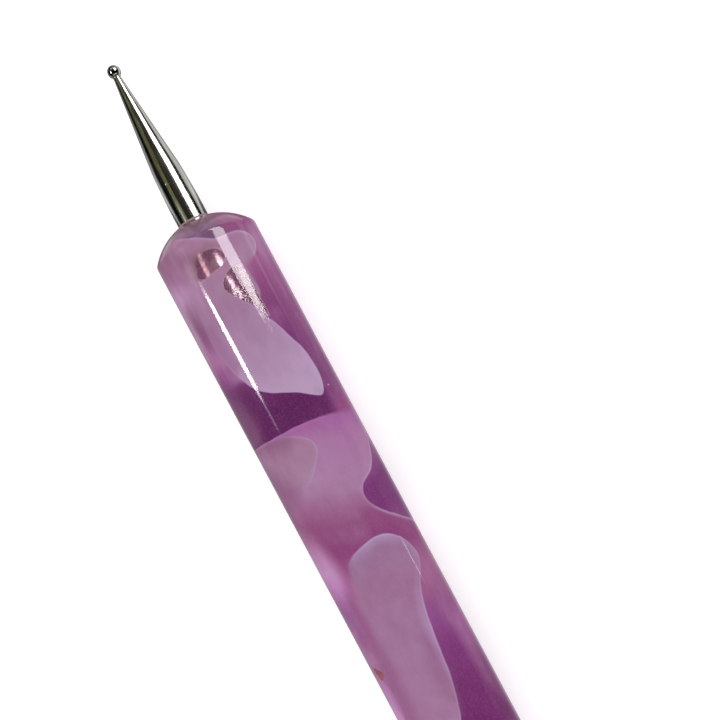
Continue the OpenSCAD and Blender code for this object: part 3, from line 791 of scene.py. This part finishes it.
def pin(e, name, seed):
    s = e["side"]
    rb, rn = e["ball"] / 2, e["neck"] / 2
    seat = math.sqrt((rb + BRAZE) ** 2 - rn ** 2)
    rs, rt = e["shank"] / 2, e["taper"] / 2
    z_nose = e["reach"] - seat
    z_t = e["reach"] - e["taper_end"]
    z_s = e["reach"] - e["shank_at"]
    z_ring = e["reach"] - (9.5 if s < 0 else 11.6)
    nose = z_nose - .05
    pts = [(-EMBED, 0.0), (-EMBED, rs - .25)]
    pts += arc(-EMBED + .25, rs - .25, .25, math.pi, math.pi / 2, 5)[1:]
    pts += [(z_s - .5, rs)]

    def on_side(z):
        return np.interp(z, [z_s, z_t, nose], [rs, rt, rn])
    # the blends between shank, slow taper and main taper are softened
    for z in np.arange(z_s - .4, nose - .02, .12):
        soft = np.mean([on_side(z + d) if z + d > z_s else rs for d in np.linspace(-.35, .35, 9)])
        r = min(float(soft), float(on_side(z)) if z > z_s else rs)
        cut = .007 * math.exp(-((z - z_ring) / .035) ** 2)
        pts.append((float(z), r - cut))
    for d in (-.09, -.05, -.02, 0, .02, .05, .09):
        z = z_ring + d
        pts.append((z, float(on_side(z)) - .008 * math.exp(-(d / .03) ** 2)))
    body = sorted([p for p in pts[7:]], key=lambda p: p[0])
    pts = pts[:7] + body
    pts += [(nose, rn), (z_nose, rn)]
    # cup that takes the ball
    a0 = math.atan2(rn, -(seat))
    cup = arc(e["reach"], 0.0, rb + BRAZE, a0, math.pi, 10)
    pts += cup[1:-1] + [(e["reach"] - rb - BRAZE, 0.0)]
    # one x each, in order
    o = lathe(name, [(s * (HALF + z), r) for z, r in pts], 96)
    o.data.materials.append(steel(name + "_steel", seed=seed))
    return o


def ball(e, name, seed):
    s = e["side"]
    c = e["reach"]
    rb = e["ball"] / 2
    prof = [(s * (HALF + c + rb * math.cos(a)), rb * math.sin(a)) for a in np.linspace(math.pi, 0, 49)]
    prof[0] = (prof[0][0], 0.0)
    prof[-1] = (prof[-1][0], 0.0)
    o = lathe(name, prof, 80)
    o.data.materials.append(steel(name + "_steel", tint=(.50, .51, .50), rough=(.05, .11), seed=seed, pits=False))
    return o


def braze(e, name, dark, light):
    s = e["side"]
    rb, rn = e["ball"] / 2, e["neck"] / 2
    c = e["reach"]
    outer_r = rb + BRAZE
    zc = math.sqrt(outer_r ** 2 - rn ** 2)
    rf = rn + 1.6 * BRAZE
    a_out = math.atan2(rn - .002, -zc)
    cup = arc(c, 0.0, outer_r - .003, math.pi, a_out, 10)
    fillet = [(c - zc - .035, rn + .002), (c - zc - .005, rn + .008), (c - zc + .02, rn + .022), (c - math.sqrt(rb * rb - rf * rf) - .004, rf - .004), (c - math.sqrt(rb * rb - rf * rf), rf)]
    a_in = math.atan2(rf, -math.sqrt(rb * rb - rf * rf))
    back = arc(c, 0.0, rb + .003, a_in, math.pi, 12)
    pts = cup + fillet + back[1:]
    pts[0] = (pts[0][0], 0.0)
    pts[-1] = (pts[-1][0], 0.0)
    o = lathe(name, [(s * (HALF + z), r) for z, r in pts], 72)
    m = Nodes(name + "_alloy")
    p = per_mm(m)
    n = m.noise(p, 9.0, 3, .6)
    m.link(m.mix(m.ramp(n, .3, .7), dark, light), m.bsdf.inputs["Base Color"])
    m.link(m.ramp(n, .3, .7, .2, .38), m.bsdf.inputs["Roughness"])
    m.link(m.bump(n, .5, .00001), m.bsdf.inputs["Normal"])
    m.set(Metallic=1.0)
    o.data.materials.append(m.mat)
    return o


def adhesive(e, name, seed, smooth_to, rough_from, pit=(.12, .08, .09), relief=.9):
    """Film and plug in the socket. Its wall carries the crinkles of the drilled hole, and a low meniscus climbs the pin at the mouth."""
    s = e["side"]
    rs = e["shank"] / 2
    ro = rs + GAP - .006
    tip = -SOCKET - (rs + GAP) * math.tan(math.radians(31)) + .02
    mouth = -(DOME_R - math.sqrt(DOME_R ** 2 - ro ** 2))
    pts = [(tip, 0.0), (-SOCKET, ro)]
    pts += [(float(z), ro) for z in np.arange(-SOCKET + .07, mouth - .04, .07)]
    pts += [(mouth, ro), (mouth + .02, ro - .035), (mouth + .05, rs + .035), (mouth + .11, rs + .012), (mouth + .14, rs + .003)]
    pts += [(mouth - .3, rs + .003), (-EMBED + .25, rs + .003), (-EMBED - .003, rs - .25), (-EMBED - .003, 0.0)]

    def crinkle(X, Rr, Ang):
        z = np.abs(X) - HALF
        out = Rr.copy()
        for i in range(len(X)):
            if Rr[i] > ro - .004 and z[i] < mouth - .5:
                v = Vector((X[i] * 2.3 + seed, math.sin(Ang[i]) * Rr[i] * 3.0, math.cos(Ang[i]) * Rr[i] * 3.0))
                w = noise.noise(v) + .6 * noise.noise(v * 2.3) + .35 * noise.noise(v * 5.1)
                depth = min(1.0, max(0.0, (-z[i] - smooth_to - .5) / (rough_from - smooth_to - 1.1)))
                out[i] = Rr[i] - (.004 + .05 * abs(w)) * (.03 + .97 * depth)
        return X, out
    o = lathe(name, [(s * (HALF + z), r) for z, r in pts], 120, crinkle)
    m = Nodes(name + "_film")
    p = per_mm(m)
    axial = m.new("ShaderNodeSeparateXYZ")
    m.link(p, axial.inputs[0])
    down = m.math("SUBTRACT", HALF, m.math("ABSOLUTE", axial.outputs[0]))     # depth below the dome's top
    rough_wall = m.ramp(down, smooth_to, rough_from, .05, 1.0)
    n1 = m.noise(m.scaled(p, (2.4, 3.2, 3.2)), 1.0, 3, .6, .8)
    n2 = m.noise(m.scaled(p, (7, 8, 8)), 1.0, 3, .65, .8)
    lines = m.noise(m.scaled(p, (1.1, 9, 9)), 1.0, 2, .6)
    flake = m.voronoi(p, 7.5)
    c = m.mix(m.ramp(n1, .3, .68), (.74, .66, .68), (.97, .93, .94))
    c = m.mix(m.math("MULTIPLY", m.ramp(n2, .5, .6), m.ramp(down, smooth_to + .1, (smooth_to + rough_from) / 2 + .25, .1, 1.0)), c, pit)
    c = m.mix(m.math("MULTIPLY", m.ramp(lines, .5, .75, 0.0, .45), m.math("SUBTRACT", 1.0, rough_wall)), c, (.50, .38, .40))
    mouth_ring = m.ramp(down, .2, .75, 1.0, 0.0)
    c = m.mix(mouth_ring, c, (.29, .20, .22))
    m.link(c, m.bsdf.inputs["Base Color"])
    m.link(m.math("ADD", m.ramp(n1, .3, .7, .10, .04), m.math("MULTIPLY", mouth_ring, .4)), m.bsdf.inputs["Roughness"])
    h = m.math("MULTIPLY", m.math("ADD", n2, m.math("MULTIPLY", flake.outputs["Distance"], 1.2)), rough_wall)
    h = m.math("ADD", h, m.math("MULTIPLY", n1, .06))
    m.link(m.bump(h, relief, .00004), m.bsdf.inputs["Normal"])
    m.link(m.math("SUBTRACT", .92, m.math("MULTIPLY", mouth_ring, .92)), m.bsdf.inputs["Metallic"])
    m.set(Specular_IOR_Level=.15)
    o.data.materials.append(m.mat)
    return o


pieces = [
    (handle, "marbled_resin", "handle"),
    (pin(SMALL, "small_pin", 3.0), "polished_steel", "small_tip_pin"),
    (pin(LARGE, "large_pin", 11.0), "polished_steel", "large_tip_pin"),
    (ball(SMALL, "small_ball_mirror", 5.0), "ball_steel", "small_ball"),
    (ball(LARGE, "large_ball_mirror", 9.0), "ball_steel", "large_ball"),
    (braze(SMALL, "small_neck_braze", (.46, .40, .32), (.66, .60, .50)), "braze", "small_ball_braze"),
    (braze(LARGE, "large_neck_braze", (.50, .38, .24), (.74, .62, .42)), "braze", "large_ball_braze"),
    (adhesive(SMALL, "small_socket_adhesive", 2.0, 4.9, 8.6), "adhesive", "small_tip_adhesive"),
    (adhesive(LARGE, "large_socket_adhesive", 7.0, .6, 6.0, (.36, .27, .29), .5), "adhesive", "large_tip_adhesive"),
]
for piece, slot, node in pieces:
    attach(piece, "root")
    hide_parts(node)

# ------------------------------------------------------------------- floor
fm = bpy.data.meshes.new("floor")
S = 3.0
fm.from_pydata([(-S, -S, -.004), (S, -S, -.004), (S, S, -.004), (-S, S, -.004)], [], [(0, 1, 2, 3)])
floor = bpy.data.objects.new("floor", fm)
bpy.context.scene.collection.objects.link(floor)
f = Nodes("pale_floor")
f.link(f.mix(f.ramp(f.noise(per_mm(f), .02), .3, .7), (.93, .93, .93), (.95, .95, .95)), f.bsdf.inputs["Base Color"])
f.set(Roughness=.7, Specular_IOR_Level=.2, Emission_Color=(1, 1, 1, 1), Emission_Strength=.3)
f.mat.cycles.emission_sampling = "NONE"
fm.materials.append(f.mat)
floor.visible_glossy = False

# What the polished surfaces mirror below them: a dim grey table, lighter
# under the pins.
gm = bpy.data.meshes.new("mirrored_table")
gm.from_pydata([(-S, -S, -.0041), (S, -S, -.0041), (S, S, -.0041), (-S, S, -.0041)], [], [(0, 1, 2, 3)])
mirrored = bpy.data.objects.new("mirrored_table", gm)
bpy.context.scene.collection.objects.link(mirrored)
g = Nodes("mirrored_table")
sep = g.new("ShaderNodeSeparateXYZ")
g.link(per_mm(g), sep.inputs[0])
gx, gy = sep.outputs[0], sep.outputs[1]
under_pin = g.ramp(g.math("ABSOLUTE", gx), 52.2, 54.5, 0.0, 1.0)
right_side = g.ramp(gy, -3.0, 1.5, .8, 1.05)
left_end = g.ramp(gy, -26, -18, 0.0, 1.0)
pale = g.math("MULTIPLY", g.math("MULTIPLY", under_pin, right_side), left_end)
pale = g.math("MULTIPLY", pale, g.ramp(gx, 40, 52, 1.0, .35))
away = g.math("ABSOLUTE", gy)
near = g.math("ADD", g.ramp(away, 5.0, 9.0, .28, 0.0), g.ramp(away, 40, 400, .2, .03))
near = g.math("MULTIPLY", near, g.ramp(g.math("ABSOLUTE", gx), 48.5, 51.5, 1.0, .3))
far_out = g.ramp(g.math("ABSOLUTE", gx), 54, 58, 1.0, .84)
left_out = g.math("MAXIMUM", g.ramp(gy, -3.0, 1.5, 0.0, 1.0), g.ramp(g.math("ABSOLUTE", gx), 56, 60, 1.0, .5))
pale = g.math("MULTIPLY", g.math("MULTIPLY", pale, g.ramp(away, 3.2, 5.5, .12, 1.0)), g.math("MULTIPLY", far_out, left_out))
strength = g.math("ADD", near, g.math("MULTIPLY", pale, .85))
g.t.nodes.remove(g.bsdf)
glow = g.new("ShaderNodeEmission")
g.link(strength, glow.inputs["Strength"])
g.link(glow.outputs[0], g.out.inputs["Surface"])
g.mat.cycles.emission_sampling = "NONE"
gm.materials.append(g.mat)
mirrored.visible_camera = False
mirrored.visible_diffuse = False
mirrored.visible_transmission = False
mirrored.visible_shadow = False

# ------------------------------------------------------------------ lights
world = bpy.data.worlds.new("studio")
bpy.context.scene.world = world
world.use_nodes = True
world.node_tree.nodes["Background"].inputs["Color"].default_value = (1, 1, 1, 1)
world.node_tree.nodes["Background"].inputs["Strength"].default_value = 1.0
world.cycles_visibility.glossy = False
world.cycles_visibility.transmission = False


def card(name, x0, x1, angle, span, dist, radiance, colour=(1, 1, 1), glossy_only=True, shape="RECTANGLE"):
    """Soft box beside the tool. angle is from straight up towards +Y, in degrees; x0 and x1 are its ends along the tool, in mm."""
    a = math.radians(angle)
    width = 2 * dist * math.tan(math.radians(span / 2))
    data = bpy.data.lights.new(name, "AREA")
    data.shape = shape
    data.size = (x1 - x0) * MM
    data.size_y = width * MM
    data.color = colour
    area = data.size * data.size_y
    data.energy = radiance * area * math.pi * (math.pi / 4 if shape == "ELLIPSE" else 1)
    o = bpy.data.objects.new(name, data)
    o.location = ((x0 + x1) / 2 * MM, math.sin(a) * dist * MM, math.cos(a) * dist * MM)
    o.rotation_euler = (-a, 0, 0)
    o.visible_camera = False
    o.visible_transmission = False
    if glossy_only:
        o.visible_diffuse = False
    bpy.context.scene.collection.objects.link(o)
    return o


card("strip_tip", -77.5, -75.8, -43.4, 5.6, 200, 22)
card("strip_bright", -74.3, -44, -43.4, 6.9, 200, 40)
card("strip_halo", -73, -38, -43.4, 9.8, 199, 9, shape="ELLIPSE")
card("strip_mid", -82.5, -78.0, -43.4, 3.6, 200, 1.2)
card("strip_faint", -104, -88, -43.4, 4, 200, .8)
card("strip_tail", -44, -28, -43.4, 3.6, 200, 2.6)
card("box", -97, -82.5, 41.6, 23.4, 200, 9)
card("box_mid", -82.5, -72.5, 41.6, 23.4, 200, 11)
card("box_low", -72.5, -62, 42.4, 14.5, 200, 10.2)
pins_only = bpy.data.collections.new("pins_only")
for piece, slot, node in pieces:
    if piece is not handle:
        pins_only.objects.link(piece)
card("pin_box", -235, -104, 44.5, 33, 205, 6.5).light_linking.receiver_collection = pins_only
card("line", 21.5, 36, 81, 2.2, 200, 4.5)
card("olive", -186, -106, -39.5, 27, 260, .16, (1, .96, .34))
card("olive_tip", -270, -186, -43, 38, 260, .15, (1, .96, .42))
card("olive_near", -133, -108, -38, 28, 258, .17, (.84, .95, .66))
card("warm_room", -262, -108, 4, 36, 262, .045, (1, .8, .64))
# the same for the large end, out of the main view's reach
handle_only = bpy.data.collections.new("handle_only")
handle_only.objects.link(handle)
card("box_cap", -190, -97, 41.6, 20, 200, 9).light_linking.receiver_collection = handle_only
card("box_round", -460, -190, 44, 19, 200, 9).light_linking.receiver_collection = handle_only
card("far_strip", 120, 190, -44.1, 6, 200, 26).light_linking.receiver_collection = handle_only
card("far_box", 118, 190, 40.6, 22, 200, 6).light_linking.receiver_collection = handle_only
card("far_thin", 150, 330, 46, 5, 205, 1.6, (1, .86, .8)).light_linking.receiver_collection = pins_only
card("far_red", 150, 330, 24, 12, 230, .22, (1, .62, .5)).light_linking.receiver_collection = pins_only
card("far_olive", 110, 330, -39, 34, 260, .2, (.86, .88, .6))
card("far_window", 150, 330, -58, 4, 240, 1.0).light_linking.receiver_collection = pins_only
# wide dim cards far out along the tool, for slanted views
card("end_a", 420, 900, 10, 80, 400, .7)
card("end_b", -900, -420, 10, 80, 400, .7)
# and a small low one past each end, which the barrel mirrors when it is seen from the other end
for side in (-1, 1):
    low = card("end_low", -90, 90, 0, 12, 1500, .26, (1, .68, 1))
    low.location = (side * 1500 * MM, 0, 88 * MM)
    low.rotation_euler = (0, side * math.pi / 2, 0)
    low.light_linking.receiver_collection = handle_only
key = card("overhead", -250, 150, -8, 50, 700, .6, glossy_only=False)
key.visible_glossy = False

# ------------------------------------------------------------------ camera
cam = bpy.data.cameras.new("camera")
camera = bpy.data.objects.new("camera", cam)
bpy.context.scene.collection.objects.link(camera)
bpy.context.scene.camera = camera
th = math.radians(28.07)
right_v = Vector((math.sin(th), math.cos(th), 0))
up_v = Vector((-math.cos(th), math.sin(th), 0))
back_v = right_v.cross(up_v)
rot = Matrix((right_v, up_v, back_v)).transposed()
camera.matrix_world = Matrix.Translation(Vector(CAM) * MM) @ rot.to_4x4()
cam.sensor_width = 36
cam.lens = 36 * 58.0 / 53.33
cam.clip_start = .005
cam.clip_end = 20
bpy.context.scene.view_settings.view_transform = "Standard"
bpy.context.scene.view_settings.look = "None"
